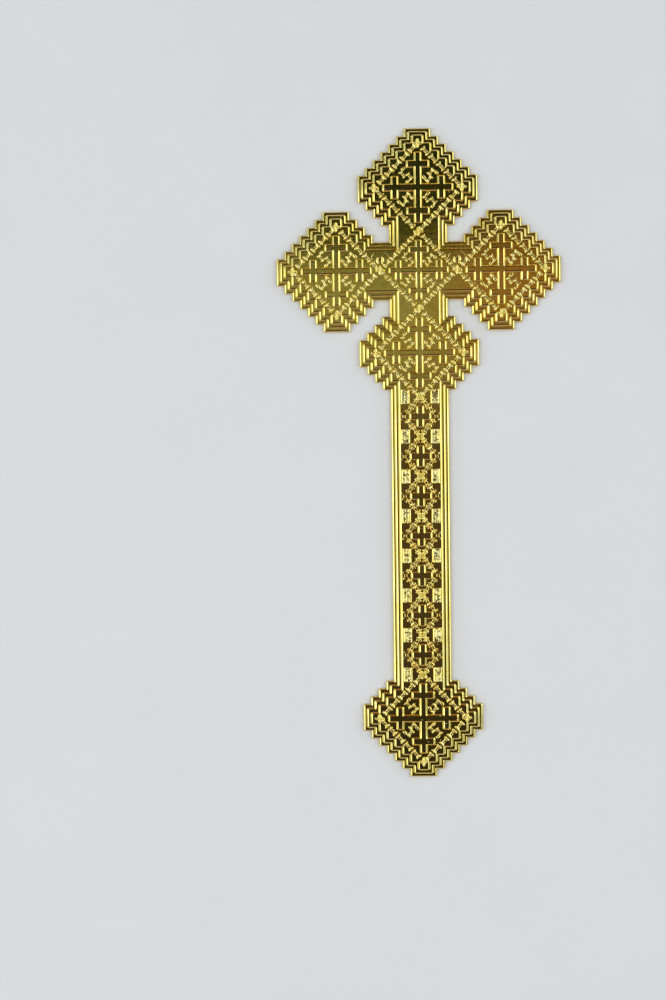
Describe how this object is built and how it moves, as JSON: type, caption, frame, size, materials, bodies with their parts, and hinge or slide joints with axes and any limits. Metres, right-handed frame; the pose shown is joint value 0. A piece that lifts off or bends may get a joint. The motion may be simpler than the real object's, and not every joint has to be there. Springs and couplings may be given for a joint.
{
  "type": "hand cross",
  "caption": "Flat gold plated hand cross with stepped lozenges on its head and foot, crosslets and chains in relief, and a broad patterned handle.",
  "frame": {"origin": "middle of the outline's box, in the plane of the flat back", "axes": "+Y up the cross from its foot to its head, +Z out of its decorated face, +X to the right seen from the face"},
  "size_m": [0.1102, 0.2518, 0.0046],
  "materials": {
    "plate_gold": "gold plated, mirror polished",
    "crosslet_gold": "gold plated, mirror polished",
    "link_gold": "gold plated, bright as cast",
    "stippled_gold": "gold plated over punched texture",
    "stud_gold": "gold plated, polished dome"
  },
  "bodies": {
    "root": {"arm_studs": "stud_gold", "back_plate": "plate_gold", "chain_centre": "link_gold", "chain_foot": "link_gold", "chain_knots": "link_gold", "chain_left": "link_gold", "chain_lower": "link_gold", "chain_right": "link_gold", "chain_top": "link_gold", "crosslet_centre": "crosslet_gold", "crosslet_foot": "crosslet_gold", "crosslet_left": "crosslet_gold", "crosslet_lower": "crosslet_gold", "crosslet_right": "crosslet_gold", "crosslet_top": "crosslet_gold", "field_plate": "plate_gold", "grip_blocks_left": "stippled_gold", "grip_blocks_right": "stippled_gold", "handle_chain": "link_gold", "handle_cross_1": "crosslet_gold", "handle_cross_2": "crosslet_gold", "handle_cross_3": "crosslet_gold", "handle_cross_4": "crosslet_gold", "handle_cross_5": "crosslet_gold", "handle_cross_6": "crosslet_gold", "handle_cross_7": "crosslet_gold", "quarter_links_centre": "link_gold", "quarter_links_foot": "link_gold", "quarter_links_left": "link_gold", "quarter_links_lower": "link_gold", "quarter_links_right": "link_gold", "quarter_links_top": "link_gold", "step_plate": "plate_gold"}
  },
  "joints": []
}
